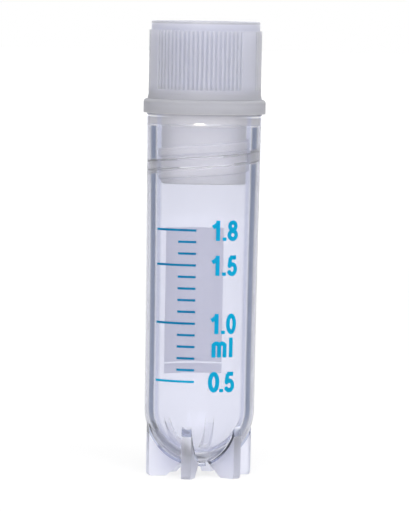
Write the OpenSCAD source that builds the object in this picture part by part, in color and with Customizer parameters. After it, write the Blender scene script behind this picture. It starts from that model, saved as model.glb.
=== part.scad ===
// Self-standing cryogenic vial, nominal 2 ml, with an internal-thread screw cap.
// Millimetres, +Z up. The origin is the centre of the foot, on the ground plane.
// The front is -Y. Azimuths are in degrees from the front towards +X.

/* [Tube] */
// Height of the rim above the ground
rim_z = 38.65; // [37.5:0.05:41]
// Outer radius where the round bottom begins
base_r = 5.88; // [5.75:0.01:6.0]
// How much wider the tube is outside at the rim than at its bottom
mouth_swell = 0.29; // [0.2:0.01:0.4]
// Thickness of the wall where the round bottom begins
wall_t = 0.89; // [0.8:0.01:1.0]
// Height of the centre of the round bottom
dome_z = 7.16; // [6.9:0.02:7.6]
// Wall thickness at the lowest point of the chamber
floor_t = 1.08; // [0.8:0.02:1.3]
// Depth of the widened mouth that takes the gasket
lead_in_h = 1.3; // [1.1:0.05:1.5]
// Widening of the bore at the rim
lead_in_w = 0.6; // [0.45:0.05:0.7]
// Rounding of the rim's outer edge
rim_edge_r = 0.12; // [0.05:0.01:0.2]
// Radius of the moulding gate's mark under the bottom
gate_r = 0.8; // [0.5:0.1:1.1]
// How far the gate's mark stands out
gate_h = 0.3; // [0.1:0.05:0.5]

/* [Star foot] */
// Number of fins
fin_count = 6; // [4:1:8]
// Thickness of a fin
fin_t = 1.06; // [0.8:0.02:1.3]
// How far the fins stand in from the tube's outer radius
fin_inset = 0.22; // [0.14:0.02:0.5]
// Radial length of a fin's flat seat
fin_seat = 1.9; // [1.5:0.1:2.4]
// Slope of a fin's underside, inwards from its seat
fin_slope = 39; // [34:1:46]
// Rounding of a fin's lower corners
fin_corner_r = 0.4; // [0.2:0.05:0.6]
// Azimuth of the first fin
fin_azimuth = -13.5; // [-30:0.5:30]

/* [Neck thread] */
// Rise of the thread in one turn
lead = 2.4; // [2.3:0.05:2.8]
// Height of the thread ridges over their wall
ridge_h = 0.38; // [0.3:0.02:0.44]
// Width of the neck's ridge at the bore
neck_ridge_w = 1.2; // [1.0:0.02:1.3]
// Width of the plug's ridge at its core
plug_ridge_w = 1.06; // [0.8:0.02:1.1]
// Slope of the ridges' flanks against the radius
flank_slope = 20; // [15:1:30]
// Bevel along the edges of the ridges' crests
ridge_edge = 0.1; // [0.04:0.02:0.14]
// Turns of the ridge in the neck
neck_turns = 1.0; // [0.7:0.05:1.3]
// Azimuth where the neck's ridge begins
neck_azimuth = -150; // [-170:5:-120]
// Distance from the rim down to the neck ridge at the front
neck_drop = 4.98; // [4.4:0.01:5.2]
// Angle over which a ridge rises at each end
run_in = 30; // [20:5:45]

/* [Screw cap] */
// Height of the cap above its sealing flange's underside
cap_h = 9.8; // [9.2:0.1:11]
// How far the flange reaches out past the rim
flange_overhang = 0.34; // [0.2:0.02:0.5]
// Height of the flange
flange_h = 1.5; // [1.2:0.05:1.8]
// Rounding of the flange's upper edge
flange_edge_r = 0.34; // [0.2:0.02:0.38]
// Radius over the grip ribs
grip_r = 6.0; // [5.95:0.01:6.1]
// How far the grip flares out above the flange
flare = 0.1; // [0.05:0.01:0.14]
// Height of the plain band between the flange and the ribs
band_h = 1.05; // [0.9:0.05:1.4]
// Step from the ribs in to the plain crown
crown_step = 0.22; // [0.18:0.01:0.3]
// Height of the plain crown
crown_h = 1.0; // [0.8:0.05:1.3]
// Rounding of the crown's top edge
crown_edge_r = 0.16; // [0.08:0.02:0.3]
// Thickness of the crown around the marker disc's recess
crown_wall = 1.28; // [1:0.02:1.6]
// Depth of the recess for a marker disc
recess_h = 1.2; // [0.8:0.1:1.6]
// Length of the plug under the flange
plug_h = 7.45; // [7.2:0.05:7.9]
// Wall thickness of the hollow plug
plug_wall = 0.95; // [0.8:0.05:1.2]
// Thickness of the web under the marker disc's recess
web_t = 1.5; // [1.2:0.1:2]
// Rounding of the plug's lower outer edge
plug_edge_r = 0.2; // [0.1:0.05:0.3]

/* [Grip ribs] */
// Number of rib groups
rib_groups = 3; // [2:1:3]
// Number of ribs in a group
group_ribs = 20; // [12:1:22]
// Angle from one rib to the next
rib_pitch = 4.75; // [4.5:0.05:5]
// Depth of the grooves between the ribs
groove_h = 0.15; // [0.08:0.01:0.18]
// Radius of the tool that cut a groove
groove_r = 0.16; // [0.12:0.01:0.18]
// Azimuth of the middle of the first group
rib_azimuth = -7.85; // [-40:0.05:40]

/* [Gasket] */
// Height of the silicone gasket
gasket_h = 1.0; // [0.8:0.05:1.05]
// Width of the gasket at the flange
gasket_w = 0.95; // [0.75:0.05:1.0]

/* [Graduations] */
// Height of the lowest mark, for 0.5 ml
mark_z = 10.43; // [9.5:0.01:11]
// Distance from one mark to the next
mark_pitch = 1.234; // [1.15:0.001:1.28]
// Height of a printed mark
mark_h = 0.24; // [0.16:0.02:0.3]
// Azimuth of the marks' right ends
mark_end = -6; // [-10:0.5:-4]
// Angle along a short mark
short_angle = 19; // [12:0.5:24]
// Angle along a long mark
long_angle = 46.3; // [36:0.1:52]

/* [Writing panel] */
// Azimuth of the panel's middle
panel_azimuth = 192; // [170:0.5:200]
// Angle across the panel
panel_angle = 76.3; // [60:0.1:84]
// Height of the panel's lower edge
panel_z = 10.5; // [9.5:0.1:12]
// Height of the panel
panel_h = 15.8; // [14:0.1:18]
// Height of the strip under the panel's ruled line
strip_h = 1.1; // [0.8:0.05:1.5]
// Height of the ruled line
rule_h = 0.16; // [0.1:0.02:0.3]

/* [Fits] */
// Gap between the rim and the flange
rim_gap = 0.05; // [0.02:0.01:0.1]
// Radial gap between the threads and the walls they turn against
thread_gap = 0.11; // [0.08:0.01:0.14]
// Gap between the flanks that draw the cap down
flank_gap = 0.1; // [0.06:0.01:0.16]
// Gap around the gasket
gasket_gap = 0.04; // [0.02:0.01:0.06]
// Gap between the printed ink and the wall
ink_gap = 0.01; // [0.005:0.001:0.015]
// Thickness of the printed ink
ink_t = 0.03; // [0.02:0.005:0.05]

/* [Hidden] */
$fn = 96;

bore_r = base_r - wall_t;
chamber_z = dome_z - base_r + floor_t + bore_r;
fin_r = base_r - fin_inset;

flange_z = rim_z + rim_gap;
flange_r = base_r + mouth_swell + flange_overhang;
crown_r = grip_r - crown_step;
recess_r = crown_r - crown_wall;
cap_top = flange_z + cap_h;
grip_z = flange_z + flange_h + band_h;
crown_z = cap_top - crown_h;
plug_z = flange_z - plug_h;

core_r = bore_r - ridge_h - thread_gap;
plug_ridge_h = bore_r - thread_gap - core_r;
plug_bore_r = core_r - plug_wall;
seat_z = rim_z - lead_in_h;

flank = tan(flank_slope);
// Where the two ridges meet, each is narrower than at its own wall.
flank_reach = (neck_ridge_w + plug_ridge_w) / 2 - (bore_r - core_r) * flank;
neck_ridge_z = rim_z - neck_drop;
plug_ridge_z = neck_ridge_z - flank_reach - flank_gap;
plug_start_z = plug_z + plug_ridge_w / 2 + plug_edge_r;
plug_end_z = seat_z - plug_ridge_w / 2 - 0.2;
ridge_root = 0.2;
// Angles between the sections of a ridge: the clear neck shows its ridge's facets.
neck_step = 3;
plug_step = 5;

mark_count = 14;
draft_steps = 10;
arc_steps = 6;
overlap = 0.3;

// Turns an azimuth into an angle about +Z from +X.
function turn(azimuth) = azimuth - 90;

// Outer radius of the tube at a height, wider towards the rim.
function tube_r(z) = base_r + mouth_swell * pow((z - dome_z) / (rim_z - dome_z), 2);

// Points of a quarter arc about a centre, from one angle over 90 degrees.
function quarter(centre, r, from) =
    [for (i = [0:arc_steps]) let (a = from + 90 * i / arc_steps) centre + r * [cos(a), sin(a)]];

// Half of the mouth's lead-in: a slope that rounds off into the straight bore.
function lead_in(gap) =
    [for (i = [0:arc_steps]) let (t = i / arc_steps)
        [bore_r - gap + lead_in_w * pow(t, 1.6), seat_z + lead_in_h * t]];

// ---------------------------------------------------------------- tube

module tube_outline() {
    rim_out_r = tube_r(rim_z) - rim_edge_r;
    polygon(concat(
        [[0, dome_z]],
        [for (i = [0:draft_steps])
            let (z = dome_z + (rim_z - rim_edge_r - dome_z) * i / draft_steps) [tube_r(z), z]],
        quarter([rim_out_r, rim_z - rim_edge_r], rim_edge_r, 0),
        [[0, rim_z]]
    ));
    intersection() {
        translate([0, dome_z]) circle(r = base_r);
        translate([0, dome_z - base_r - 1]) square([base_r + 1, base_r + 1.5]);
    }
}

module chamber_outline() {
    translate([0, chamber_z]) circle(r = bore_r);
    translate([-1, chamber_z]) square([bore_r + 1, rim_z - chamber_z + 1]);
    polygon(concat([[0, seat_z]], lead_in(0), [[bore_r + lead_in_w, rim_z + 1], [0, rim_z + 1]]));
}

// One upright plate of the foot, from its flat seat up into the round bottom.
module fin() {
    fin_top = dome_z - sqrt(pow(base_r, 2) - pow(fin_r, 2)) + overlap;
    inner_r = fin_r - fin_seat;
    outline = concat(
        [[0, inner_r * tan(fin_slope)], [inner_r, 0]],
        quarter([fin_r - fin_corner_r, fin_corner_r], fin_corner_r, -90),
        [[fin_r, fin_top], [0, dome_z]]
    );
    rotate([90, 0, 0]) linear_extrude(fin_t, center = true) polygon(outline);
}

module star_foot() {
    for (i = [0:fin_count - 1])
        rotate([0, 0, turn(fin_azimuth) + 360 * i / fin_count]) fin();
}

// A screw ridge on a round wall. side is 1 on an outside wall and -1 in a bore.
// It starts at an azimuth and a height, and rises to its full height over run_in.
// Each section has six corners: two under the wall's surface, two shoulders, two on the crest.
module screw_ridge(wall_r, side, height, width, azimuth, z, turns, step) {
    steps = ceil(360 * turns / step);
    root_half = width / 2 + ridge_root * flank;
    points = [for (i = [0:steps]) let (
            along = 360 * turns * i / steps,
            rise = min(1, along / run_in, (360 * turns - along) / run_in),
            bevel = ridge_edge * (1 + 2 * rise) / 3,
            out = (height + ridge_root / 2) * rise - ridge_root / 2,
            half = width / 2 - out * flank,
            shoulder_half = half + bevel * flank,
            root = wall_r - side * ridge_root,
            shoulder = wall_r + side * (out - bevel),
            crest = wall_r + side * out,
            level = z + lead * along / 360)
        for (p = [
                [root, -root_half], [shoulder, -shoulder_half], [crest, bevel - half],
                [crest, half - bevel], [shoulder, shoulder_half], [root, root_half]
            ])
            [p.x * cos(turn(azimuth) + along), p.x * sin(turn(azimuth) + along), level + p.y]];
    last = 6 * steps;
    skin = concat(
        [for (k = [1:4]) [0, k + 1, k]],
        [for (i = [0:steps - 1]) for (k = [0:5]) let (
                a = 6 * i + k,
                b = 6 * i + (k + 1) % 6)
            for (t = [[a, b + 6, a + 6], [a, b, b + 6]]) t],
        [for (k = [1:4]) [last, last + k, last + k + 1]]
    );
    polyhedron(points, side > 0 ? skin : [for (f = skin) [f[2], f[1], f[0]]]);
}

module vial_body() {
    color([0.86, 0.89, 0.95, 0.4]) {
        difference() {
            union() {
                rotate_extrude() tube_outline();
                star_foot();
                translate([0, 0, dome_z - base_r - gate_h]) cylinder(r = gate_r, h = gate_h + floor_t / 2);
            }
            rotate_extrude() intersection() {
                chamber_outline();
                square([rim_z, 2 * rim_z]);
            }
        }
        screw_ridge(
            bore_r, -1, ridge_h, neck_ridge_w, neck_azimuth,
            neck_ridge_z + lead * neck_azimuth / 360, neck_turns, neck_step
        );
    }
}

// ---------------------------------------------------------------- cap

module cap_outline() {
    flange_top = flange_z + flange_h;
    flare_top = flange_top + band_h / 2;
    // The rounding keeps a narrow ledge around the flared grip.
    edge_r = min(flange_edge_r, flange_r - grip_r - flare - 0.04);
    polygon(concat(
        [[0, plug_z]],
        quarter([core_r - plug_edge_r, plug_z + plug_edge_r], plug_edge_r, -90),
        [[core_r, flange_z], [flange_r, flange_z]],
        quarter([flange_r - edge_r, flange_top - edge_r], edge_r, 0),
        [[grip_r + flare, flange_top], [grip_r, flare_top], [grip_r, grip_z], [crown_r, grip_z]],
        quarter([crown_r - crown_edge_r, cap_top - crown_edge_r], crown_edge_r, 0),
        [[0, cap_top]]
    ));
}

// The ribbed grip: a ring whose outside has rows of fine upright grooves.
module grip_ring() {
    group_turn = 360 / rib_groups;
    translate([0, 0, grip_z]) linear_extrude(crown_z - grip_z) difference() {
        circle(r = grip_r);
        circle(r = crown_r - overlap);
        for (g = [0:rib_groups - 1])
            for (i = [0:group_ribs])
                rotate(turn(rib_azimuth) + group_turn * g + rib_pitch * (i - group_ribs / 2))
                    translate([grip_r + groove_r - groove_h, 0]) circle(r = groove_r, $fn = 24);
    }
}

module screw_cap() {
    plug_turns = (plug_end_z - plug_start_z) / lead;
    plug_azimuth = 360 * (plug_start_z - plug_ridge_z) / lead;
    color([0.84, 0.85, 0.9, 0.9]) {
        difference() {
            rotate_extrude() cap_outline();
            translate([0, 0, plug_z - 1])
                cylinder(r = plug_bore_r, h = cap_top - recess_h - web_t - plug_z + 1);
            translate([0, 0, cap_top - recess_h]) cylinder(r = recess_r, h = recess_h + 1);
        }
        grip_ring();
        screw_ridge(
            core_r, 1, plug_ridge_h, plug_ridge_w, plug_azimuth, plug_start_z, plug_turns, plug_step
        );
    }
}

module sealing_gasket() {
    color([0.93, 0.93, 0.95])
        rotate_extrude() intersection() {
            translate([core_r + gasket_gap, flange_z - gasket_h]) square([gasket_w, gasket_h]);
            polygon(concat(
                [[0, seat_z]], lead_in(gasket_gap), [[bore_r + lead_in_w, flange_z], [0, flange_z]]
            ));
        }
}

// ---------------------------------------------------------------- print

// A film of ink on the tube, from one azimuth over an angle, between two heights.
module ink(azimuth, angle, low, high, steps) {
    wall = [for (i = [0:steps]) let (z = low + (high - low) * i / steps) [tube_r(z) + ink_gap, z]];
    film = concat(wall, [for (i = [steps:-1:0]) wall[i] + [ink_t, 0]]);
    rotate([0, 0, turn(azimuth)]) rotate_extrude(angle = angle) polygon(film);
}

module graduation_marks() {
    color([0.0, 0.62, 0.82])
        for (i = [0:mark_count - 1]) {
            z = mark_z + mark_pitch * i;
            angle = (i == mark_count - 1 || i % 5 == 0) ? long_angle : short_angle;
            ink(mark_end - angle, angle, z - mark_h / 2, z + mark_h / 2, 1);
        }
}

module writing_panel() {
    start = panel_azimuth - panel_angle / 2;
    color([0.93, 0.94, 0.96]) {
        ink(start, panel_angle, panel_z, panel_z + strip_h, 1);
        ink(start, panel_angle, panel_z + strip_h + rule_h, panel_z + panel_h, draft_steps);
    }
}

vial_body();
screw_cap();
sealing_gasket();
graduation_marks();
writing_panel();
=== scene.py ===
# %% [markdown]
# # A cryogenic vial and its finishes
# The real object is a clear moulded polypropylene tube on a star foot, a milky screw cap
# with a ribbed grip, a silicone gasket under the cap's flange, and print in blue and white
# ink. The imported solids already have the true shapes of the mouldings, so most of this
# lesson is about finishes: how light goes through a clear wall, how a milky plastic keeps
# some of it, and how a thin film of ink sits on both.
#
# The imported model comes in as a fixed frame: its solids, its moving bodies and its joints.
# It could be rebuilt here by hand, but then the two would drift apart. Nothing in it is
# moved or reshaped.

# %% Load the frame
import math

import bmesh
import bpy
from mathutils import Matrix, Vector


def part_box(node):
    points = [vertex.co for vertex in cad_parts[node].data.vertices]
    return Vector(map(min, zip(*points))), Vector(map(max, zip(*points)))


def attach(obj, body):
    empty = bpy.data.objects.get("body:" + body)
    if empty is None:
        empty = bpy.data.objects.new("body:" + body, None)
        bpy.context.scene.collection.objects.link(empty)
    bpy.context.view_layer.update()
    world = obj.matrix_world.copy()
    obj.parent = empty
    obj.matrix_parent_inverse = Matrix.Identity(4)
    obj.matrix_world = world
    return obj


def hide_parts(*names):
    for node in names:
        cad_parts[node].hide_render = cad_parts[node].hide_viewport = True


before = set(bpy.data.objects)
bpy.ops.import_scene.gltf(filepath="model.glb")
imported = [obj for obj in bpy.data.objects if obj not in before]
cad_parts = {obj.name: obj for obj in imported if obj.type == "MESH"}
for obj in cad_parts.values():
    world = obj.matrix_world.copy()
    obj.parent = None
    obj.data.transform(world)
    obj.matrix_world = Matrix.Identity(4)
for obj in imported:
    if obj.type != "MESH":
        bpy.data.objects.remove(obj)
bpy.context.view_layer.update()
scene = bpy.context.scene

# %% [markdown]
# ## Where things are
# The ends of the main pieces are read from the solids, so a height that counts from one of
# them fits without nudging. Sizes inside a piece, such as the centre of the tube's dome,
# are the ones that the solids were drawn to. Lengths in this lesson are written in
# millimetres and multiplied by MM. The tube's axis is the Z axis and its front faces -Y. A
# turn round the tube is counted from the front towards +X.

# %% Sizes taken from the frame
MM = 0.001
tube_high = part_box("vial_body")[1]
cap_low, cap_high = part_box("screw_cap")
marks_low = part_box("graduation_marks")[0]
print(f"tube {tube_high.z / MM:.2f} mm tall, {2 * tube_high.x / MM:.2f} mm across at its rim")
print(f"closed vial {cap_high.z / MM:.2f} mm tall")

# %% [markdown]
# ## The camera
# A long lens stands half a metre in front, a little above the cap, and looks slightly
# down. The foot then shows from above while the cap's top stays a thin ellipse. A short
# lens close by would do too, but it would make the cap look wider than the foot. A small
# roll about the view leans the vial by one degree, as a hand-placed one leans. The aim
# comes from where the camera stands and where it looks, and not from typed angles, so that
# the camera can be moved without losing the vial.

# %% Camera
CAMERA_STAND = Vector((0, -505, 52.9)) * MM
CAMERA_TARGET = Vector((0.27, 0, 23.5)) * MM
CAMERA_LEAN = math.radians(1.0)
SENSOR_MM = 36
LENS_MM = 333.8
NEAREST_SEEN = 10 * MM
FARTHEST_SEEN = 20000 * MM


def place_camera(stand, target, lean):
    """Makes the camera, aims it at the target and rolls it by the lean."""
    lens = bpy.data.cameras.new("portrait_lens")
    lens.sensor_fit = "VERTICAL"
    lens.sensor_width = SENSOR_MM
    lens.sensor_height = SENSOR_MM
    lens.lens = LENS_MM
    lens.clip_start = NEAREST_SEEN
    lens.clip_end = FARTHEST_SEEN
    camera = bpy.data.objects.new("portrait_camera", lens)
    aim = (target - stand).to_track_quat("-Z", "Y").to_matrix().to_4x4()
    camera.matrix_world = Matrix.Translation(stand) @ aim @ Matrix.Rotation(lean, 4, "Z")
    scene.collection.objects.link(camera)
    scene.camera = camera


place_camera(CAMERA_STAND, CAMERA_TARGET, CAMERA_LEAN)
print(f"camera {(CAMERA_STAND - CAMERA_TARGET).length / MM:.0f} mm away")

# %% [markdown]
# ## Small tools for node trees
# A material is a graph, and a graph reads best when each line says what it adds. Blender
# asks for a node, then for each socket, then for each link, which takes many lines. These
# helpers do the wiring in one: a value that is a socket is linked, and any other value is
# set on the socket itself.


# %% Node helpers
def feed(tree, socket, value):
    """Links a socket's value when it is another socket, and sets it otherwise."""
    if isinstance(value, bpy.types.NodeSocket):
        tree.links.new(value, socket)
    else:
        socket.default_value = value


def fill(tree, node, **inputs):
    """Feeds a node's inputs by name, with _ for each space of the name."""
    for name, value in inputs.items():
        feed(tree, node.inputs[name.replace("_", " ")], value)
    return node


def add(tree, kind, settings=None, **inputs):
    """Adds a node, sets its properties, and feeds its inputs by name."""
    node = tree.nodes.new(kind)
    for name, value in (settings or {}).items():
        setattr(node, name, value)
    return fill(tree, node, **inputs)


def calc(tree, operation, first, second=0.0, third=0.0):
    """Adds a math node and returns its value."""
    node = add(tree, "ShaderNodeMath", {"operation": operation})
    for place, value in enumerate((first, second, third)):
        feed(tree, node.inputs[place], value)
    return node.outputs["Value"]


print("node helpers: feed, fill, add, calc")

# %% [markdown]
# Most finishes here are mixes: one colour in one place and another elsewhere. A mask is a
# value from 0 to 1 that says where. A hard mask leaves a jagged edge, so most masks rise
# and fall smoothly over a stretch. Where several masks have to hold at once, they are
# multiplied.


# %% Masks and mixes
def blend_colors(tree, factor, first, second):
    """Mixes two colours by a factor and returns the colour."""
    node = add(tree, "ShaderNodeMix", {"data_type": "RGBA"})
    for name, value in (("Factor", factor), ("A", first), ("B", second)):
        socket = next(s for s in node.inputs if s.name == name and s.enabled)
        feed(tree, socket, value)
    return next(s for s in node.outputs if s.enabled)


def step_up(tree, value, low, high):
    """A smooth rise from 0 to 1 as the value goes from low to high."""
    smooth = {"interpolation_type": "SMOOTHSTEP"}
    node = add(tree, "ShaderNodeMapRange", smooth, Value=value, From_Min=low, From_Max=high)
    return node.outputs["Result"]


def band(tree, value, rise, full, fall, gone):
    """1 where the value lies between full and fall, fading out on both sides."""
    up = step_up(tree, value, rise, full)
    down = step_up(tree, value, fall, gone)
    return calc(tree, "SUBTRACT", up, down)


def overlap(tree, first, *others):
    """The place where all the masks hold."""
    for other in others:
        first = calc(tree, "MULTIPLY", first, other)
    return first


def opposite(tree, mask):
    """The place where the mask doesn't hold."""
    return calc(tree, "SUBTRACT", 1.0, mask)


print("masks: step_up, band, overlap, opposite")

# %% [markdown]
# Each finish is one material with one Principled shader, because that is the shader that
# travels best to other programs. An effect that several finishes share is a node group.
# Groups hold no shader of their own. They hand values to the material that uses them.


# %% Materials and groups
def new_material(name):
    """A material with a Principled shader, and its tree and shader."""
    material = bpy.data.materials.new(name)
    material.use_nodes = True
    tree = material.node_tree
    return material, tree, tree.nodes["Principled BSDF"]


def dress(node_name, material):
    """Gives one material to every slot of a node from the frame."""
    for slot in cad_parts[node_name].material_slots:
        slot.material = material
    print(f"{node_name} wears {material.name}")


def new_group(name, inputs, outputs):
    """A node group, with the sockets that it is given and the node that ends it."""
    group = bpy.data.node_groups.new(name, "ShaderNodeTree")
    face = group.interface
    for title, default in inputs.items():
        socket = face.new_socket(title, in_out="INPUT", socket_type="NodeSocketFloat")
        socket.default_value = default
    for title, kind in outputs.items():
        face.new_socket(title, in_out="OUTPUT", socket_type=f"NodeSocket{kind}")
    given = add(group, "NodeGroupInput").outputs
    return group, given, add(group, "NodeGroupOutput")


def use_group(tree, group, **values):
    """Places a node group in a material, fills its inputs and returns its outputs."""
    return add(tree, "ShaderNodeGroup", {"node_tree": group}, **values).outputs


print("material helpers: new_material, dress, new_group, use_group")

# %% [markdown]
# ## A shared effect: moulded skin
# Every plastic part here came out of a steel mould, and the steel's finish is printed on
# it. Close up there is a fine grain, and over several millimetres the wall heaves a little
# where the melt cooled unevenly. An image could carry both, but it would stretch on round
# parts, while noise in the object's own space doesn't. Both effects belong to the tube,
# the cap and the gasket in different strengths, so they are one group with inputs of its
# own. A noise's scale says how many of its waves go into a metre. The group puts out a
# roughness, a bumped normal and a slow mottle for colours to use.

# %% Node group: moulded skin
NOISE_LOW = 0.3
NOISE_HIGH = 0.7
GRAIN_HEIGHT = 0.05 * MM
GRAIN_DETAIL = 3.0
RIPPLE_HEIGHT = 0.4 * MM
RIPPLE_DETAIL = 1.5


def build_moulded_skin():
    """Grain, slow ripple and mottle of a moulded surface."""
    inputs = {
        "Grain Scale": 9000.0,
        "Grain Depth": 0.1,
        "Ripple Scale": 260.0,
        "Ripple Depth": 0.1,
        "Roughness Low": 0.2,
        "Roughness High": 0.3,
    }
    outputs = {"Roughness": "Float", "Mottle": "Float", "Normal": "Vector"}
    group, given, out = new_group("moulded_skin", inputs, outputs)
    place = add(group, "ShaderNodeTexCoord").outputs["Object"]
    grain = add(group, "ShaderNodeTexNoise", Vector=place, Detail=GRAIN_DETAIL)
    fill(group, grain, Scale=given["Grain Scale"])
    ripple = add(group, "ShaderNodeTexNoise", Vector=place, Detail=RIPPLE_DETAIL)
    fill(group, ripple, Scale=given["Ripple Scale"])
    mottle = ripple.outputs[0]
    rough = add(group, "ShaderNodeMapRange", Value=mottle, From_Min=NOISE_LOW)
    fill(group, rough, From_Max=NOISE_HIGH)
    fill(group, rough, To_Min=given["Roughness Low"], To_Max=given["Roughness High"])
    slow = add(group, "ShaderNodeBump", Distance=RIPPLE_HEIGHT, Height=mottle)
    fill(group, slow, Strength=given["Ripple Depth"])
    fine = add(group, "ShaderNodeBump", Distance=GRAIN_HEIGHT, Height=grain.outputs[0])
    fill(group, fine, Strength=given["Grain Depth"], Normal=slow.outputs["Normal"])
    fill(group, out, Roughness=rough.outputs["Result"], Mottle=mottle)
    fill(group, out, Normal=fine.outputs["Normal"])
    return group


moulded_skin = build_moulded_skin()
print("made the group", moulded_skin.name)

# %% [markdown]
# ## Clear polypropylene
# Clear polypropylene bends light like glass, with an index of 1.49, but it is never quite
# as clear: it greys what is behind it and turns it a little blue. Its Base Color is
# therefore not white. The bore, the outer skin and the fins are one solid with one
# material, so the material has to tell them apart. It does that by the distance from the
# tube's axis, and below the dome's centre by the distance from that centre.

# %% Places on the wall
DOME_CENTRE_Z = 7.16 * MM
BORE_END_R = 5.45 * MM
SKIN_START_R = 5.60 * MM
FIN_START_R = 6.25 * MM
FIN_ROOT_RADII = (5.92 * MM, 5.98 * MM, 6.22 * MM, 6.28 * MM)
FIN_ROOT_TOP = (9.5 * MM, 9.0 * MM)


def tell_place(tree):
    """The position of the shaded point, as separate X, Y and Z."""
    place = add(tree, "ShaderNodeTexCoord").outputs["Object"]
    return add(tree, "ShaderNodeSeparateXYZ", Vector=place).outputs


def sum_of_squares(tree, first, second):
    """The square of one value plus the square of another."""
    square = calc(tree, "MULTIPLY", first, first)
    return calc(tree, "MULTIPLY_ADD", second, second, square)


def tell_skins(tree):
    """1 on the outer skin of the wall and the dome, 1 on the fins, and 1 on their roots."""
    place = tell_place(tree)
    drop = calc(tree, "SUBTRACT", place["Z"], DOME_CENTRE_Z)
    drop = calc(tree, "MINIMUM", drop, 0.0)
    across = sum_of_squares(tree, place["X"], place["Y"])
    away = calc(tree, "SQRT", calc(tree, "MULTIPLY_ADD", drop, drop, across))
    beyond_bore = step_up(tree, away, BORE_END_R, SKIN_START_R)
    on_fins = calc(tree, "GREATER_THAN", away, FIN_START_R)
    low_down = step_up(tree, place["Z"], *FIN_ROOT_TOP)
    roots = overlap(tree, band(tree, away, *FIN_ROOT_RADII), low_down)
    return calc(tree, "SUBTRACT", beyond_bore, on_fins), on_fins, roots


print(f"the outer skin starts {SKIN_START_R / MM:.2f} mm from the axis")

# %% [markdown]
# Where the eye meets the wall at a slant, light goes a long way inside it and is bent far
# aside, so a clear tube shows a dark line along its outline where it brings dark
# surroundings into view. A white studio has nothing dark for the wall to bend in, so the
# line is painted into the plastic's colour as painted refraction. Layer Weight knows the
# slant. On its own it also counts the look from above, so a second one with an upright
# normal takes that part out again.

# %% The slant of the wall
EVEN_BLEND = 0.5


def level_slant(tree):
    """How far round the wall the eye meets it: 0 at the middle and 1 at the edge."""
    facing = add(tree, "ShaderNodeLayerWeight", Blend=EVEN_BLEND).outputs["Facing"]
    upright = add(tree, "ShaderNodeCombineXYZ", Z=1.0).outputs["Vector"]
    steep = add(tree, "ShaderNodeLayerWeight", Blend=EVEN_BLEND, Normal=upright)
    down = opposite(tree, steep.outputs["Facing"])
    level = calc(tree, "SUBTRACT", 1.0, calc(tree, "MULTIPLY", down, down))
    level = calc(tree, "SQRT", level)
    share = calc(tree, "DIVIDE", opposite(tree, facing), level)
    return opposite(tree, calc(tree, "MINIMUM", share, 1.0))


print("the slant runs from 0 at the tube's middle to 1 at its edge")

# %% [markdown]
# The dark line isn't even from top to bottom. It starts under the gasket, whose milky ring
# fills the mouth. It breaks where the screw ridge inside the neck bends it away, and it
# pales a little round the dome. The ridge climbs as it goes round, so the break does too.

# %% Where the dark line shows
LINE_TOP = tube_high.z - 1.27 * MM
LINE_TOP_FADE = 0.1 * MM
RIDGE_Z = tube_high.z - 5.0 * MM
RIDGE_RISE = 0.54 * MM
RIDGE_HALF = 0.50 * MM
RIDGE_FADE = 0.90 * MM
RIDGE_LEFT = 0.25
DOME_LOW_Z = 1.5 * MM
DOME_HIGH_Z = 7.0 * MM
DOME_LEFT = 0.75


def dark_line_share(tree):
    """How much of the dark line is left at each height, and 1 at the neck's ridge."""
    place = tell_place(tree)
    height = place["Z"]
    under_mouth = step_up(tree, height, LINE_TOP + LINE_TOP_FADE, LINE_TOP - LINE_TOP_FADE)
    off_dome = add(tree, "ShaderNodeMapRange", Value=height, To_Min=DOME_LEFT)
    fill(tree, off_dome, From_Min=DOME_LOW_Z, From_Max=DOME_HIGH_Z)
    forward = calc(tree, "MULTIPLY", place["Y"], -1.0)
    turn = calc(tree, "ARCTAN2", place["X"], forward)
    crest = calc(tree, "MULTIPLY_ADD", turn, RIDGE_RISE, RIDGE_Z)
    above = calc(tree, "ABSOLUTE", calc(tree, "SUBTRACT", height, crest))
    off_ridge = step_up(tree, above, RIDGE_HALF, RIDGE_FADE)
    left = calc(tree, "MULTIPLY_ADD", off_ridge, 1.0 - RIDGE_LEFT, RIDGE_LEFT)
    share = overlap(tree, under_mouth, off_dome.outputs["Result"], left)
    return share, opposite(tree, off_ridge)


print(f"the dark line starts at {LINE_TOP / MM:.2f} mm and breaks at {RIDGE_Z / MM:.2f} mm")

# %% [markdown]
# Two fine marks sit at the mouth. The mould's neck ring met its cavity there, and the two
# steels left a ring less than a tenth of a millimetre high that catches a small glint at
# the front. Above it the rim's rounded edge gathers light into a thin pale line. Both are
# too fine to be worth geometry, so the ring is a bump and the line a glow.

# %% Marks at the mouth
PARTING_Z = tube_high.z - 1.17 * MM
PARTING_HALF = 0.28 * MM
PARTING_DEPTH = 0.075 * MM
PARTING_FRONT = (4.2 * MM, 5.4 * MM)
RIM_LINE_Z = tube_high.z - 0.25 * MM
RIM_LINE_HALF = 0.12 * MM
RIM_SLANTS = (0.1, 0.5)


def parting_ring(tree):
    """1 on the crest of the fine ring, falling to 0 at its feet and towards the sides."""
    place = tell_place(tree)
    away = calc(tree, "ABSOLUTE", calc(tree, "SUBTRACT", place["Z"], PARTING_Z))
    ramp = calc(tree, "MULTIPLY_ADD", away, -1.0 / PARTING_HALF, 1.0)
    ring = calc(tree, "MAXIMUM", ramp, 0.0)
    forward = calc(tree, "ABSOLUTE", place["Y"])
    return overlap(tree, ring, step_up(tree, forward, *PARTING_FRONT))


def rim_line(tree, slant):
    """1 along the pale line under the rim, most where the wall turns away."""
    low, high = RIM_LINE_Z - RIM_LINE_HALF, RIM_LINE_Z + RIM_LINE_HALF
    line = band(tree, tell_place(tree)["Z"], low, RIM_LINE_Z, RIM_LINE_Z, high)
    return overlap(tree, line, step_up(tree, slant, *RIM_SLANTS))


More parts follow.
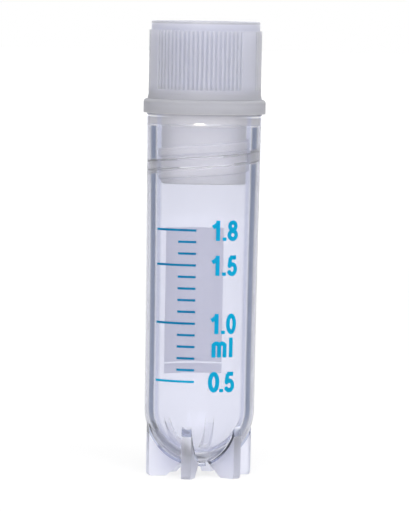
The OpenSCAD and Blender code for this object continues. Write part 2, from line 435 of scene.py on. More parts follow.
print(f"parting ring at {PARTING_Z / MM:.2f} mm, {PARTING_DEPTH / MM:.3f} mm high")

# %% [markdown]
# Now the tints. Only the plain tint and the fins' tint are the plastic's own colour. The
# others are painted refraction and painted shade. A ray is tinted each time it passes the
# surface, and most of the tints below work only where it goes in through the outer skin.
# Backfacing tells going in from coming out. Beside the painted dark line, the bore's edge
# inside it and the wall's edge outside it are painted paler. The ledge is the foot of the
# widened mouth, painted as a short dark step. The neck is painted darker towards its sides,
# as painted shade on the plug behind it. The fins' roots are painted darker where they
# meet the dome, as painted shade.

# %% Tints, painted refraction and painted shade of the clear wall
CLEAR_TINT = (0.872, 0.882, 0.958, 1)
# Painted shade on the sides of the plug, seen through the neck.
NECK_PAINTED_SHADE = (0.57, 0.58, 0.64, 1)
# Painted refraction: the short dark step at the foot of the widened mouth.
LEDGE_PAINTED_REFRACTION = (0.50, 0.51, 0.60, 1)
# Painted refraction: the dark line along the wall's outline.
LINE_PAINTED_REFRACTION = (0.038, 0.056, 0.125, 1)
# Painted refraction: the paler bands beside the dark line, at the bore's edge and the wall's
# edge.
BORE_PAINTED_REFRACTION = (0.50, 0.53, 0.69, 1)
EDGE_PAINTED_REFRACTION = (0.33, 0.34, 0.45, 1)
# Painted shade where the fins' roots meet the dome.
ROOT_PAINTED_SHADE = (0.30, 0.34, 0.48, 1)
FIN_TINT = (0.78, 0.79, 0.88, 1)
NECK_SLANTS = (0.04, 0.30)
LEDGE_SLANTS = (0.3, 0.4)
BORE_SLANTS = (0.30, 0.365, 0.41, 0.44)
LINE_SLANTS = (0.41, 0.475, 0.575, 0.72)
EDGE_SLANTS = (0.62, 0.70)
NECK_FOOT = (cap_low.z - 0.2 * MM, cap_low.z + 0.3 * MM)
LEDGE_HEIGHTS = [LINE_TOP + up * MM for up in (-0.05, 0.05, 0.22, 0.32)]


def wall_tint_and_painted_light(tree, slant, outer, fins, roots, line_share):
    """The tint of the clear plastic at each place, with painted refraction and painted shade.
    """
    height = tell_place(tree)["Z"]
    behind = add(tree, "ShaderNodeNewGeometry").outputs["Backfacing"]
    in_front = opposite(tree, behind)
    going_in = overlap(tree, outer, in_front)
    in_neck = step_up(tree, height, *NECK_FOOT)
    at_ledge = band(tree, height, *LEDGE_HEIGHTS)
    neck = overlap(tree, going_in, step_up(tree, slant, *NECK_SLANTS), in_neck)
    ledge = overlap(tree, outer, step_up(tree, slant, *LEDGE_SLANTS), at_ledge)
    line = overlap(tree, going_in, band(tree, slant, *LINE_SLANTS), line_share)
    bore = overlap(tree, going_in, band(tree, slant, *BORE_SLANTS))
    edge = overlap(tree, going_in, step_up(tree, slant, *EDGE_SLANTS))
    color = blend_colors(tree, neck, CLEAR_TINT, NECK_PAINTED_SHADE)
    color = blend_colors(tree, ledge, color, LEDGE_PAINTED_REFRACTION)
    color = blend_colors(tree, line, color, LINE_PAINTED_REFRACTION)
    color = blend_colors(tree, bore, color, BORE_PAINTED_REFRACTION)
    color = blend_colors(tree, edge, color, EDGE_PAINTED_REFRACTION)
    color = blend_colors(tree, overlap(tree, roots, in_front), color, ROOT_PAINTED_SHADE)
    return blend_colors(tree, fins, color, FIN_TINT)


print("tints: neck, ledge, line, bore, edge, fin roots, fins")

# %% [markdown]
# The fins are frosted, and the neck's ridge blurs what is behind it, so both need more
# roughness than the wall. The parting ring gets some too, which softens its glint. A small
# glow on the fins stands for the light that clear plastic pipes into them.

# %% Frost and glow of the clear wall
FIN_FROST = 0.50
RIDGE_FROST = 0.45
PARTING_FROST = 0.36
FIN_GLOW = (0.036, 0.037, 0.046, 1)
RIM_GLOW = (0.45, 0.46, 0.50, 1)
NO_GLOW = (0, 0, 0, 1)


def frost_clear_wall(tree, rough, outer, fins, ridge, ring):
    """The roughness of the clear plastic, with more on the fins, the ridge and the ring."""
    inner_ridge = overlap(tree, ridge, opposite(tree, outer))
    rough = calc(tree, "MULTIPLY_ADD", fins, FIN_FROST, rough)
    rough = calc(tree, "MULTIPLY_ADD", inner_ridge, RIDGE_FROST, rough)
    return calc(tree, "MULTIPLY_ADD", ring, PARTING_FROST, rough)


def glow_clear_wall(tree, slant, outer, fins):
    """The small glow of the clear plastic, on the fins and along the line at the rim."""
    glow = blend_colors(tree, fins, NO_GLOW, FIN_GLOW)
    rim = overlap(tree, outer, rim_line(tree, slant))
    return blend_colors(tree, rim, glow, RIM_GLOW)


print(f"frost: fins {FIN_FROST}, ridge {RIDGE_FROST}, parting ring {PARTING_FROST}")

# %% [markdown]
# Now the material itself. A Glass shader would bend light as well, but it has no glow, and
# few other programs know it. A Principled shader that passes most of the light does the
# same. The tenth that it keeps scatters, which gives the wall its slight haze.

# %% Clear polypropylene
CLEAR_IOR = 1.49
CLEAR_PASSES = 0.90


def make_clear_polypropylene():
    """Clear moulded plastic for the tube and its foot."""
    material, tree, shader = new_material("clear_polypropylene")
    skin = use_group(
        tree,
        moulded_skin,
        Grain_Scale=6000.0,
        Grain_Depth=0.02,
        Ripple_Scale=180.0,
        Ripple_Depth=0.01,
        Roughness_Low=0.02,
        Roughness_High=0.06,
    )
    outer, fins, roots = tell_skins(tree)
    slant = level_slant(tree)
    line_share, ridge = dark_line_share(tree)
    ring = parting_ring(tree)
    bump = add(tree, "ShaderNodeBump", Strength=1.0, Distance=PARTING_DEPTH, Height=ring)
    fill(tree, bump, Normal=skin["Normal"])
    fill(
        tree,
        shader,
        Base_Color=wall_tint_and_painted_light(tree, slant, outer, fins, roots, line_share),
        Roughness=frost_clear_wall(tree, skin["Roughness"], outer, fins, ridge, ring),
        Normal=bump.outputs["Normal"],
        Emission_Color=glow_clear_wall(tree, slant, outer, fins),
        Emission_Strength=1.0,
        IOR=CLEAR_IOR,
        Transmission_Weight=CLEAR_PASSES,
    )
    return material


dress("vial_body", make_clear_polypropylene())

# %% [markdown]
# ## Milky polypropylene
# The cap is the same plastic without the clarifier, so it scatters: light goes in at one
# place and comes out a few millimetres away, which softens the grooves of the grip. That is
# subsurface scattering, and a plain matt colour would look like chalk beside it. The colour
# differs a little by place, and most of these differences are painted light and painted
# shade. The flange is deeper than the grip. The plug is the palest, with painted light for
# what reaches it through the clear wall. The grooves of the grip are painted darker as
# painted shade. The smooth crown catches the light in full, so its colour is painted deeper
# than the grip's. The crown's bevelled brink and the flange's rounded shoulder are painted a
# little darker than the sides under them, as painted shade against the lamps' highlights. On
# the plug the screw ridge's flanks are painted darker than its crest and root, and its root
# a little darker than its crest, as painted shade.

# %% Colours, painted light and painted shade of the milky plastic
MILK_GRIP = (0.638, 0.650, 0.765, 1)
# Painted shade in the grooves of the grip.
MILK_GROOVE_PAINTED_SHADE = (0.540, 0.555, 0.650, 1)
# Painted deeper to offset the light that the smooth crown catches in full.
MILK_CROWN = (0.565, 0.578, 0.70, 1)
# Painted shade on the crown's bevelled brink.
MILK_BRINK_PAINTED_SHADE = (0.40, 0.405, 0.47, 1)
MILK_FLANGE = (0.488, 0.493, 0.547, 1)
# Painted shade on the flange's rounded shoulder.
MILK_SHOULDER_PAINTED_SHADE = (0.411, 0.416, 0.462, 1)
# The plug's colour with painted light for what reaches it through the clear wall.
MILK_PLUG_AND_PAINTED_LIGHT = (0.92, 0.925, 0.955, 1)
# Painted shade at the root and on the flanks of the plug's screw ridge.
MILK_ROOT_PAINTED_SHADE = (0.85, 0.855, 0.89, 1)
MILK_FLANK_PAINTED_SHADE = (0.52, 0.525, 0.59, 1)
CROWN_HEIGHTS = (cap_high.z - 1.3 * MM, cap_high.z - 0.8 * MM)
BRINK_HEIGHTS = [cap_high.z - down * MM for down in (0.34, 0.22, 0.04, 0.01)]
SHOULDER_HEIGHTS = [tube_high.z + up * MM for up in (0.8, 1.38, 1.55, 1.62)]
GROOVE_RADII = (5.97 * MM, 5.88 * MM)
GROOVE_FLOOR_R = 5.81 * MM
ROOT_RADII = (4.80 * MM, 4.56 * MM)
FLANK_RADII = (4.53 * MM, 4.60 * MM, 4.72 * MM, 4.84 * MM)


def cap_tint_and_painted_light(tree, height, away, flange, plug):
    """The colour of the milky plastic by height and by distance from the axis, with painted
    light and painted shade.
    """
    crown = step_up(tree, height, *CROWN_HEIGHTS)
    outside = calc(tree, "GREATER_THAN", away, GROOVE_FLOOR_R)
    groove = overlap(tree, step_up(tree, away, *GROOVE_RADII), outside)
    color = blend_colors(tree, groove, MILK_GRIP, MILK_GROOVE_PAINTED_SHADE)
    color = blend_colors(tree, crown, color, MILK_CROWN)
    color = blend_colors(tree, band(tree, height, *BRINK_HEIGHTS), color, MILK_BRINK_PAINTED_SHADE)
    color = blend_colors(tree, flange, color, MILK_FLANGE)
    color = blend_colors(tree, band(tree, height, *SHOULDER_HEIGHTS), color, MILK_SHOULDER_PAINTED_SHADE)
    thread = blend_colors(tree, step_up(tree, away, *ROOT_RADII), MILK_PLUG_AND_PAINTED_LIGHT, MILK_ROOT_PAINTED_SHADE)
    thread = blend_colors(tree, band(tree, away, *FLANK_RADII), thread, MILK_FLANK_PAINTED_SHADE)
    return blend_colors(tree, plug, color, thread)


print("shades: grip, groove, crown, brink, flange, shoulder, plug, root, flank")

# %% [markdown]
# The renderer lets too little light through the clear wall, so a faint glow on the plug
# stands for it. More lamps would do it too, but they would bleach the grip. The flange is
# frosted, so that the lamps leave no sharp spot on it.

# %% Milky polypropylene
PIPED_LIGHT = (0.125, 0.124, 0.133, 1)
MILK_REACH = (4.0 * MM, 4.0 * MM, 4.2 * MM)
FLANGE_HEIGHTS = (tube_high.z + 3.4 * MM, tube_high.z + 1.6 * MM)
PLUG_HEIGHTS = (tube_high.z + 0.2 * MM, tube_high.z - 0.2 * MM)
FLANGE_FROST = 0.3


def make_milky_polypropylene():
    """Milky moulded plastic for the cap."""
    material, tree, shader = new_material("milky_polypropylene")
    skin = use_group(
        tree,
        moulded_skin,
        Grain_Scale=5000.0,
        Grain_Depth=0.25,
        Ripple_Scale=200.0,
        Ripple_Depth=0.12,
        Roughness_Low=0.36,
        Roughness_High=0.48,
    )
    place = tell_place(tree)
    away = calc(tree, "SQRT", sum_of_squares(tree, place["X"], place["Y"]))
    flange = step_up(tree, place["Z"], *FLANGE_HEIGHTS)
    plug = step_up(tree, place["Z"], *PLUG_HEIGHTS)
    fill(
        tree,
        shader,
        Base_Color=cap_tint_and_painted_light(tree, place["Z"], away, flange, plug),
        Roughness=calc(tree, "MULTIPLY_ADD", flange, FLANGE_FROST, skin["Roughness"]),
        Normal=skin["Normal"],
        Emission_Color=blend_colors(tree, plug, NO_GLOW, PIPED_LIGHT),
        Emission_Strength=1.0,
        Subsurface_Weight=1.0,
        Subsurface_Radius=MILK_REACH,
        Subsurface_Scale=1.0,
    )
    return material


dress("screw_cap", make_milky_polypropylene())

# %% [markdown]
# ## Silicone
# The gasket is a soft natural silicone ring, smoother and a little glossier than the cap.
# It scatters light as the cap does, over a shorter reach, and the same faint glow stands
# for the light that reaches it through the clear mouth.

# %% Silicone
SILICONE_PALE = (0.92, 0.92, 0.95, 1)
SILICONE_DEEP = (0.88, 0.88, 0.92, 1)
SILICONE_GLOW = (0.155, 0.152, 0.158, 1)
SILICONE_REACH = (3.0 * MM, 3.0 * MM, 3.2 * MM)


def make_silicone():
    """Soft milky rubber for the gasket."""
    material, tree, shader = new_material("silicone")
    skin = use_group(
        tree,
        moulded_skin,
        Grain_Scale=7000.0,
        Grain_Depth=0.1,
        Ripple_Scale=300.0,
        Ripple_Depth=0.1,
        Roughness_Low=0.2,
        Roughness_High=0.3,
    )
    fill(
        tree,
        shader,
        Base_Color=blend_colors(tree, skin["Mottle"], SILICONE_DEEP, SILICONE_PALE),
        Roughness=skin["Roughness"],
        Normal=skin["Normal"],
        Emission_Color=SILICONE_GLOW,
        Emission_Strength=1.0,
        Subsurface_Weight=1.0,
        Subsurface_Radius=SILICONE_REACH,
        Subsurface_Scale=1.0,
    )
    return material


silicone = make_silicone()
print("made", silicone.name)

# %% [markdown]
# Screwed down, the gasket is squeezed until it wets the widened mouth. No air is left
# between the two, so through the clear wall the silicone shows right out to the edge and
# the mouth looks milky instead of dark. The frame's gasket keeps the small gap that the
# solids need, so a squeezed ring stands for it here. A ring could be a stretched torus,
# but this one has a flat top and a slanting side, so it is turned from one profile, like a
# bowl on a potter's wheel.


# %% Turn a profile
def turn_profile(name, profile, turns):
    """A closed ring made by turning a profile, in radius and height, about the Z axis."""
    mesh = bpy.data.meshes.new(name)
    bm = bmesh.new()
    rings = []
    for i in range(turns):
        a = math.tau * i / turns
        side, front = math.sin(a), -math.cos(a)
        rings.append([bm.verts.new(Vector((r * side, r * front, z)) * MM) for r, z in profile])
    for i in range(turns):
        here, there = rings[i], rings[(i + 1) % turns]
        for j in range(len(profile)):
            k = (j + 1) % len(profile)
            bm.faces.new((here[j], here[k], there[k], there[j]))
    bmesh.ops.recalc_face_normals(bm, faces=bm.faces)
    for face in bm.faces:
        face.smooth = True
    bm.to_mesh(mesh)
    bm.free()
    ring = bpy.data.objects.new(name, mesh)
    scene.collection.objects.link(ring)
    return ring


print("ready to turn a ring from a profile")

# %% [markdown]
# The profile goes once round the gasket's section. Each point is a radius and a height.
# From the flat top it follows the plug down, rounds the lower edge, and climbs along the
# slanting wall of the mouth.

# %% Squeezed gasket
GASKET_TURNS = 128
GASKET_PROFILE = (
    (4.53, 38.695),
    (4.53, 37.62),
    (4.60, 37.50),
    (4.74, 37.43),
    (4.90, 37.44),
    (5.02, 37.50),
    (5.085, 37.70),
    (5.11, 37.78),
    (5.21, 38.00),
    (5.32, 38.22),
    (5.46, 38.43),
    (5.55, 38.56),
    (5.62, 38.65),
    (5.62, 38.695),
)

gasket = turn_profile("gasket_ring", GASKET_PROFILE, GASKET_TURNS)
gasket.data.materials.append(silicone)
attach(gasket, "gasket")
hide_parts("sealing_gasket")
print("gasket turned:", len(gasket.data.polygons), "faces")

# %% [markdown]
# ## A shared effect: printed film
# Both inks were pulled through a screen. The film is a little thinner in places, and the
# mesh of the screen leaves a faint weave. Both inks need that in different strengths, so
# it is a group. It puts out a cover value, a roughness and a normal.

# %% Node group: printed film
CLOUD_SCALE = 900.0
CLOUD_DETAIL = 4.0
CLOUD_STRENGTH = 0.4
CLOUD_HEIGHT = 0.04 * MM
WEAVE_SCALE = 1100.0
WEAVE_WANDER = 0.6
WEAVE_HEIGHT = 0.02 * MM


def build_printed_film():
    """The uneven cover, gloss and weave of screen-printed ink."""
    inputs = {"Weave": 0.2, "Roughness Low": 0.4, "Roughness High": 0.6}
    outputs = {"Cover": "Float", "Roughness": "Float", "Normal": "Vector"}
    group, given, out = new_group("printed_film", inputs, outputs)
    place = add(group, "ShaderNodeTexCoord").outputs["Object"]
    noise = add(group, "ShaderNodeTexNoise", Scale=CLOUD_SCALE, Detail=CLOUD_DETAIL)
    fill(group, noise, Vector=place)
    cloud = noise.outputs[0]
    threads = add(group, "ShaderNodeTexWave", {"bands_direction": "Z"}, Vector=place)
    fill(group, threads, Scale=WEAVE_SCALE, Distortion=WEAVE_WANDER)
    cover = add(group, "ShaderNodeMapRange", Value=cloud)
    fill(group, cover, From_Min=NOISE_LOW, From_Max=NOISE_HIGH)
    rough = add(group, "ShaderNodeMapRange", Value=cloud)
    fill(group, rough, To_Min=given["Roughness Low"], To_Max=given["Roughness High"])
    weave = add(group, "ShaderNodeBump", Distance=WEAVE_HEIGHT, Height=threads.outputs[1])
    fill(group, weave, Strength=given["Weave"])
    pile = add(group, "ShaderNodeBump", Distance=CLOUD_HEIGHT, Strength=CLOUD_STRENGTH)
    fill(group, pile, Height=cloud, Normal=weave.outputs["Normal"])
    fill(group, out, Cover=cover.outputs["Result"], Roughness=rough.outputs["Result"])
    fill(group, out, Normal=pile.outputs["Normal"])
    return group


printed_film = build_printed_film()
print("made the group", printed_film.name)

# %% [markdown]
# ## Blue ink
# The graduations are thin rules, the numerals broad strokes. They could be painted on the
# wall's own material, but real ink is a film that stands proud of it, so each is a piece.
# The same ink looks darker on a rule, because the squeegee leaves it thicker there, so the
# two share one recipe with different colours. The squeegee ran dry towards the foot, and
# the lowest rules are paler.

# %% Blue ink
RULE_THIN = (0.0, 0.28, 0.54, 1)
RULE_THICK = (0.0, 0.22, 0.45, 1)
NUMERAL_THIN = (0.0, 0.48, 0.81, 1)
NUMERAL_THICK = (0.0, 0.40, 0.70, 1)
DRY_INK = (0.0, 0.45, 0.74, 1)
DRY_HEIGHTS = (marks_low.z + 1.9 * MM, marks_low.z + 0.1 * MM)
INK_GLOSS = 0.12
INK_REACH = (0.05 * MM, 0.05 * MM, 0.05 * MM)


def make_blue_ink(name, thin, thick):
    """Screen-printed blue ink, from where it lies thin to where it lies thick."""
    material, tree, shader = new_material(name)
    film = use_group(tree, printed_film, Weave=0.25, Roughness_Low=0.38, Roughness_High=0.55)
    color = blend_colors(tree, film["Cover"], thin, thick)
    dry = step_up(tree, tell_place(tree)["Z"], *DRY_HEIGHTS)
    fill(
        tree,
        shader,
        Base_Color=blend_colors(tree, dry, color, DRY_INK),
        Roughness=film["Roughness"],
        Normal=film["Normal"],
        Specular_IOR_Level=INK_GLOSS,
        Subsurface_Weight=1.0,
        Subsurface_Radius=INK_REACH,
        Subsurface_Scale=1.0,
    )
    return material


dress("graduation_marks", make_blue_ink("blue_ink_rules", RULE_THIN, RULE_THICK))

# %% [markdown]
# ## White ink
# The writing panel is a patch of white ink on the back of the tube. It is thin enough to
# let some daylight through, so from the front it reads as a soft grey window in the clear
# wall rather than a black one. Making it transparent would let sharp outlines through, so
# a faint bluish glow stands for that daylight.

# %% White ink
WHITE_THIN = (0.88, 0.88, 0.98, 1)
WHITE_THICK = (0.92, 0.92, 1.0, 1)
WHITE_GLOW = (0.14, 0.138, 0.21, 1)
WHITE_REACH = (0.4 * MM, 0.4 * MM, 0.45 * MM)


def make_white_ink():
    """Thin white ink that passes some light."""
    material, tree, shader = new_material("white_ink")
    film = use_group(tree, printed_film, Weave=0.5, Roughness_Low=0.5, Roughness_High=0.65)
    fill(
        tree,
        shader,
        Base_Color=blend_colors(tree, film["Cover"], WHITE_THIN, WHITE_THICK),
        Roughness=film["Roughness"],
        Normal=film["Normal"],
        Emission_Color=WHITE_GLOW,
        Emission_Strength=1.0,
        Subsurface_Weight=1.0,
        Subsurface_Radius=WHITE_REACH,
        Subsurface_Scale=1.0,
    )
    return material


dress("writing_panel", make_white_ink())

# %% [markdown]
# ## Numerals
# The numerals and the letters ml are printed beside the longer graduations. Text on a
# curved wall has to bend with it. Instead of bending finished letters, each label is
# described as pen strokes on a flat sheet, and the sheet is cut into small cells. A cell
# is kept where it lies within half a pen width of a stroke, and a cell that the edge runs
# through is clipped along it. The kept cells are then wrapped round the tube. All lengths
# of the sheet are in millimetres, across and up from the glyph's left foot.

# %% Pen strokes
PEN = 0.455
DIGIT_H = 2.14


def arc(cx, cz, rx, rz, start, stop, parts):
    """Points on part of an ellipse, from one angle to another in degrees."""
    points = []
    for i in range(parts + 1):
        a = math.radians(start + (stop - start) * i / parts)
        points.append((cx + rx * math.cos(a), cz + rz * math.sin(a)))
    return points


def one():
    """A stem and the flag that leans on it."""
    return [[(0.72, 0), (0.72, DIGIT_H)], [(0.72, 1.86), (0.50, 1.62), (0.14, 1.42)]]


def dot():
    """A point, a little shorter than the pen is wide."""
    return [[(0.17, 0), (0.17, 0.36)]]


def zero():
    """One tall oval."""
    return [arc(0.62, 1.07, 0.40, 0.87, 0, 360, 36)]


def eight():
    """A wide ring with a smaller one on it."""
    low = arc(0.63, 0.62, 0.42, 0.42, 0, 360, 30)
    high = arc(0.63, 1.56, 0.36, 0.38, 0, 360, 30)
    return [low, high]


def five():
    """A bar, a short slanting stem and an open bowl."""
    bowl = arc(0.60, 0.70, 0.42, 0.51, 150, -155, 24)
    return [[(1.10, 1.93), (0.33, 1.93)], [(0.40, 1.93), (0.27, 1.02)], bowl]


def letter_m():
    """Three stems under two arches."""
    stems = [[(x, 0), (x, 1.45)] for x in (0.22, 0.84, 1.46)]
    arches = [arc(c, 1.18, 0.31, 0.30, 180, 0, 12) for c in (0.53, 1.15)]
    return stems + arches


def letter_l():
    """One tall stem."""
    return [[(0.24, 0), (0.24, 2.10)]]


GLYPHS = {"1": one, ".": dot, "0": zero, "8": eight, "5": five, "m": letter_m, "l": letter_l}
print("glyphs drawn:", " ".join(GLYPHS))

# %% [markdown]
# The distance from a point to a stroke decides whether the pen inked it. Ends of strokes
# are cut square, as a lettering pen cuts them, and bends are round. A stroke that comes
# back to its start, such as a zero, has no ends.

# %% Distance to a stroke
CLOSED_GAP = 0.01


def segment_distance(x, z, a, b):
    """The distance to a segment, and how far past its ends the point lies."""
    ax, az = a
    bx, bz = b
    length = math.hypot(bx - ax, bz - az)
    ux, uz = (bx - ax) / length, (bz - az) / length
    along = (x - ax) * ux + (z - az) * uz
    held = min(max(along, 0), length)
    away = math.hypot(x - ax - ux * held, z - az - uz * held)
    return away, -along, along - length


def ink_field(strokes, x, z):
    """Below zero where the pen has inked the sheet."""
    best = math.inf
    for stroke in strokes:
        closed = math.dist(stroke[0], stroke[-1]) < CLOSED_GAP
        last = len(stroke) - 2
        for i in range(last + 1):
            away, before, after = segment_distance(x, z, stroke[i], stroke[i + 1])
            value = away - PEN / 2
            if i == 0 and not closed:
                value = max(value, before)
            if i == last and not closed:
                value = max(value, after)
            best = min(best, value)
    return best


print(f"the pen is {PEN} mm wide, and the field in a dot is {ink_field(dot(), 0.17, 0.2):.2f}")

# %% [markdown]
# A cell's four corners are either inked or bare. Where they differ, the edge of the ink
# crosses two of the cell's sides, and the field's values there say how far along.

# %% Cut the ink out of the sheet
CELL_W = 0.06
CELL_H = 0.05
SHEET_LEFT = -0.06
SHEET_W = 1.9
SHEET_H = 2.4
SHEET_COLUMNS = range(int(SHEET_W / CELL_W) + 1)
SHEET_ROWS = range(-1, int(SHEET_H / CELL_H) + 1)


def clip_cell(corners, values):
    """The part of a cell on the inked side, cut where the field crosses zero."""
    kept = []
    for i in range(4):
        j = (i + 1) % 4
        (xa, za), (xb, zb) = corners[i], corners[j]
        va, vb = values[i], values[j]
        if va < 0:
            kept.append((xa, za))
        if (va < 0) != (vb < 0):
            t = va / (va - vb)
            kept.append((xa + (xb - xa) * t, za + (zb - za) * t))
    return kept


def inked_cells(strokes):
    """The outline of each cell of the sheet that the strokes ink, or ink in part."""
    spots = {}
    field = {}
    for i in SHEET_COLUMNS:
        for j in SHEET_ROWS:
            spots[i, j] = (i * CELL_W + SHEET_LEFT, j * CELL_H)
            field[i, j] = ink_field(strokes, *spots[i, j])
    for i in SHEET_COLUMNS[:-1]:
        for j in SHEET_ROWS[:-1]:
            ring = ((i, j), (i + 1, j), (i + 1, j + 1), (i, j + 1))
            outline = clip_cell([spots[c] for c in ring], [field[c] for c in ring])
            if len(outline) > 2:
                yield outline


print(f"a sheet has {len(SHEET_COLUMNS) * len(SHEET_ROWS)} corners of cells")

# %% [markdown]
# The tube is not a plain cylinder: it swells a little towards its mouth, where the cap
# needs a stiffer rim. The print follows that swell, so the wrap asks for the wall's radius
# at each height.

# %% Wrap onto the wall
BASE_R = 5.88
MOUTH_SWELL = 0.29
DOME_Z = DOME_CENTRE_Z / MM
RIM_Z = tube_high.z / MM
INK_LIFT = 0.035


def wall_radius(z):
    """The outside radius of the tube at a height, in millimetres."""
    return BASE_R + MOUTH_SWELL * ((z - DOME_Z) / (RIM_Z - DOME_Z)) ** 2


def on_wall(arc_length, z):
    """A point of the flat sheet, wrapped round the tube."""
    r = wall_radius(z)
    a = arc_length / r
    out = r + INK_LIFT
    return Vector((out * math.sin(a), -out * math.cos(a), z)) * MM


print(f"the wall is {wall_radius(RIM_Z):.2f} mm in radius at its rim")

# %% [markdown]
# One label is one piece. Its glyphs' cells are wrapped and welded to each other, so that
# the film has no seams, and it gets its thickness last. Flat text with a shrinkwrap could
# do this too, but its long thin faces would cut through the round wall.

# %% Print one label
INK_FILM = 0.02 * MM
WELD = 1e-7


def print_label(name, text, left, foot, steps, material):
    """Prints a row of glyphs on the wall, its left edge and foot given in millimetres."""
    mesh = bpy.data.meshes.new(name)
    bm = bmesh.new()
    for letter, step in zip(text, steps, strict=True):
        for outline in inked_cells(GLYPHS[letter]()):
            wrapped = [on_wall(left + step + x, foot + z) for x, z in outline]
            bm.faces.new([bm.verts.new(point) for point in wrapped])
    bmesh.ops.remove_doubles(bm, verts=bm.verts, dist=WELD)
    bmesh.ops.dissolve_degenerate(bm, edges=bm.edges, dist=WELD)
    bmesh.ops.recalc_face_normals(bm, faces=bm.faces)
    bmesh.ops.solidify(bm, geom=bm.faces[:], thickness=INK_FILM)
    bm.to_mesh(mesh)
    bm.free()
    label = bpy.data.objects.new(name, mesh)
    scene.collection.objects.link(label)
    label.data.materials.append(material)
    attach(label, "vial")
    print(f"{name}: {len(mesh.polygons)} faces")


print(f"a label's film is {INK_FILM / MM:.2f} mm thick")

# %% [markdown]
# The labels stand level with their graduations. The first long graduation is the lowest
# mark, and the rest follow at one even pitch. The unit stands alone between two of them.
# The steps say how far each glyph starts from the label's left edge.

# %% Print the labels
numeral_ink = make_blue_ink("blue_ink_numerals", NUMERAL_THIN, NUMERAL_THICK)
HALF_RULE = 0.12
MARK_Z = marks_low.z / MM + HALF_RULE
MARK_PITCH = 1.234
LABEL_LEFT = 0.96
ZERO_LEFT = LABEL_LEFT - 0.10
UNIT_LEFT = LABEL_LEFT + 0.22
UNIT_FOOT = MARK_Z + 2.62
ZERO_STEPS = (0, 1.30, 1.80)
ONE_STEPS = (0, 1.28, 1.80)
UNIT_STEPS = (0, 1.97)


def level_with(mark):
    """The foot of a numeral whose middle is level with a mark, counted from the lowest."""
    return MARK_Z + mark * MARK_PITCH - DIGIT_H / 2


labels = (
    ("numeral_0_5", "0.5", ZERO_LEFT, level_with(0), ZERO_STEPS),
    ("unit_ml", "ml", UNIT_LEFT, UNIT_FOOT, UNIT_STEPS),
    ("numeral_1_0", "1.0", LABEL_LEFT, level_with(5), ONE_STEPS),
    ("numeral_1_5", "1.5", LABEL_LEFT, level_with(10), ONE_STEPS),
    ("numeral_1_8", "1.8", LABEL_LEFT, level_with(13), ONE_STEPS),
)
for label_name, label_text, left, foot, steps in labels:
    print_label(label_name, label_text, left, foot, steps, numeral_ink)

# %% [markdown]
# ## The studio
# The studio looks white, but its light on the object is plain. The two are told apart by
# Light Path, which knows what kind of ray is asking: one that the eye sees, directly or in
# a reflection or through the plastic, or one that only gathers light.

# %% Seen rays
HALF_BOUNCE = 0.5


def seen_rays(tree):
    """1 for camera, reflected and transmitted rays, and 0 for the rest."""
    path = add(tree, "ShaderNodeLightPath").outputs
    direct = calc(tree, "MAXIMUM", path["Is Camera Ray"], path["Is Glossy Ray"])
    seen = calc(tree, "MAXIMUM", direct, path["Is Transmission Ray"])
    unscattered = calc(tree, "LESS_THAN", path["Diffuse Depth"], HALF_BOUNCE)
    return overlap(tree, seen, unscattered)


print("seen rays: camera, glossy and transmission, before any diffuse bounce")

# %% [markdown]
# The world is white for the seen rays. All other rays find a plain level of light, so the
# object is lit evenly and its colours stay as written. White light from everywhere would
# be simpler, but it would bleach the milky parts.

# %% World
PLAIN_LEVEL = 0.38
PLAIN_GREY = (PLAIN_LEVEL, PLAIN_LEVEL, PLAIN_LEVEL, 1)
WHITE = (1, 1, 1, 1)


def make_world():
    """White where it is seen, and a plain grey light everywhere else."""
    world = bpy.data.worlds.new("white_studio")
    world.use_nodes = True
    tree = world.node_tree
    color = blend_colors(tree, seen_rays(tree), PLAIN_GREY, WHITE)
    fill(tree, tree.nodes["Background"], Color=color)
    scene.world = world
    return world


print("made", make_world().name)

# %% [markdown]
# The floor is a diffuse sheet with a glow of its own. Near the vial the glow and the lamps
# together just reach white where nothing is in the way, so the vial's shadow stays on it as
# a faint grey. Far off, where the lamps don't reach, the glow alone makes it white, and the
# floor runs into the world without a line. In reflections and through the plastic the floor
# is a little under white, and to all other rays it gives a plain level of light.

# %% Floor
FLOOR_SIZE = 6000 * MM
FLOOR_GREY = (0.35, 0.35, 0.35, 1)
FLOOR_ROUGH = 0.9
FLOOR_NEAR = 0.73
FLOOR_FAR = 1.0
FLOOR_THROUGH = 0.88
FLOOR_UNSEEN = 0.22
FLOOR_FADE = (300 * MM, 900 * MM)


def floor_glow(tree):
    """The strength of the floor's glow for each kind of ray."""
    more_when_seen = FLOOR_THROUGH - FLOOR_UNSEEN
    glow = calc(tree, "MULTIPLY_ADD", seen_rays(tree), more_when_seen, FLOOR_UNSEEN)
    place = add(tree, "ShaderNodeTexCoord").outputs["Object"]
    away = add(tree, "ShaderNodeVectorMath", {"operation": "LENGTH"}, Vector=place)
    far = step_up(tree, away.outputs["Value"], *FLOOR_FADE)
    near_change = FLOOR_NEAR - FLOOR_THROUGH
    change = calc(tree, "MULTIPLY_ADD", far, FLOOR_FAR - FLOOR_NEAR, near_change)
    in_view = add(tree, "ShaderNodeLightPath").outputs["Is Camera Ray"]
    return calc(tree, "MULTIPLY_ADD", in_view, change, glow)


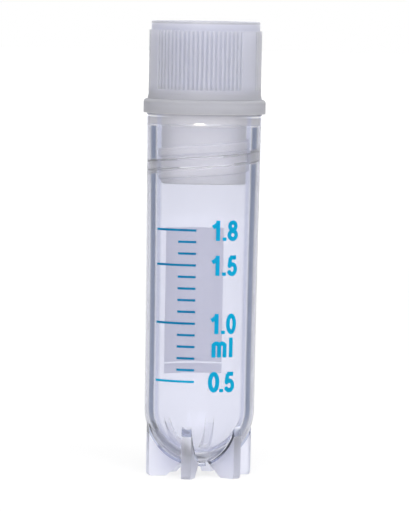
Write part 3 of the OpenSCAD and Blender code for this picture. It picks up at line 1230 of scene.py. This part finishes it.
def make_floor():
    """A wide pale sheet at the height that the vial stands on."""
    bpy.ops.mesh.primitive_plane_add(size=FLOOR_SIZE, location=(0, 0, 0))
    floor = bpy.context.object
    floor.name = "studio_floor"
    material, tree, shader = new_material("pale_floor")
    fill(
        tree,
        shader,
        Base_Color=FLOOR_GREY,
        Roughness=FLOOR_ROUGH,
        Specular_IOR_Level=0.0,
        Emission_Color=WHITE,
        Emission_Strength=floor_glow(tree),
    )
    floor.data.materials.append(material)
    return floor


print("laid", make_floor().name)

# %% [markdown]
# ## Lamps
# One broad softbox in front and above gives the rounded parts their gentle modelling. A
# weaker one behind lifts the cap's top and the shoulders. The clear wall would show that
# lamp as a bright patch, so rays that pass through plastic don't see it. A small warm bar
# is there for the glint on the ring at the neck. It shows only in gloss, so the colours
# don't turn warm with it.

# %% Lamps
FRONT_PLACE = Vector((60, -540, 520)) * MM
BACK_PLACE = Vector((0, 620, 330)) * MM
BAR_PLACE = Vector((-86, -523, 318)) * MM
LAMP_TARGET = Vector((0, 0, 25)) * MM
FRONT_SIZE = (700 * MM, 700 * MM)
BACK_SIZE = (800 * MM, 800 * MM)
BAR_SIZE = (190 * MM, 100 * MM)


def add_softbox(name, place, size, power, color):
    """An area lamp that looks at the vial and that the camera doesn't see."""
    lamp = bpy.data.lights.new(name, "AREA")
    lamp.shape = "RECTANGLE"
    lamp.size, lamp.size_y = size
    lamp.energy = power
    lamp.color = color
    box = bpy.data.objects.new(name, lamp)
    aim = (LAMP_TARGET - place).to_track_quat("-Z", "Y").to_matrix().to_4x4()
    box.matrix_world = Matrix.Translation(place) @ aim
    box.visible_camera = False
    scene.collection.objects.link(box)
    print(f"{name}: {power} W at {(place - LAMP_TARGET).length / MM:.0f} mm")
    return box


add_softbox("front_softbox", FRONT_PLACE, FRONT_SIZE, power=4.6, color=(1, 0.99, 0.98))
back_softbox = add_softbox(
    "back_softbox", BACK_PLACE, BACK_SIZE, power=1.4, color=(0.94, 0.96, 1)
)
back_softbox.visible_transmission = False
glint_bar = add_softbox("glint_bar", BAR_PLACE, BAR_SIZE, power=2.0, color=(1, 0.90, 0.72))
glint_bar.visible_transmission = False
glint_bar.visible_diffuse = False

# %% [markdown]
# ## Finish
# The scene is shown through the Standard view transform.

# %% Finish
scene.view_settings.view_transform = "Standard"
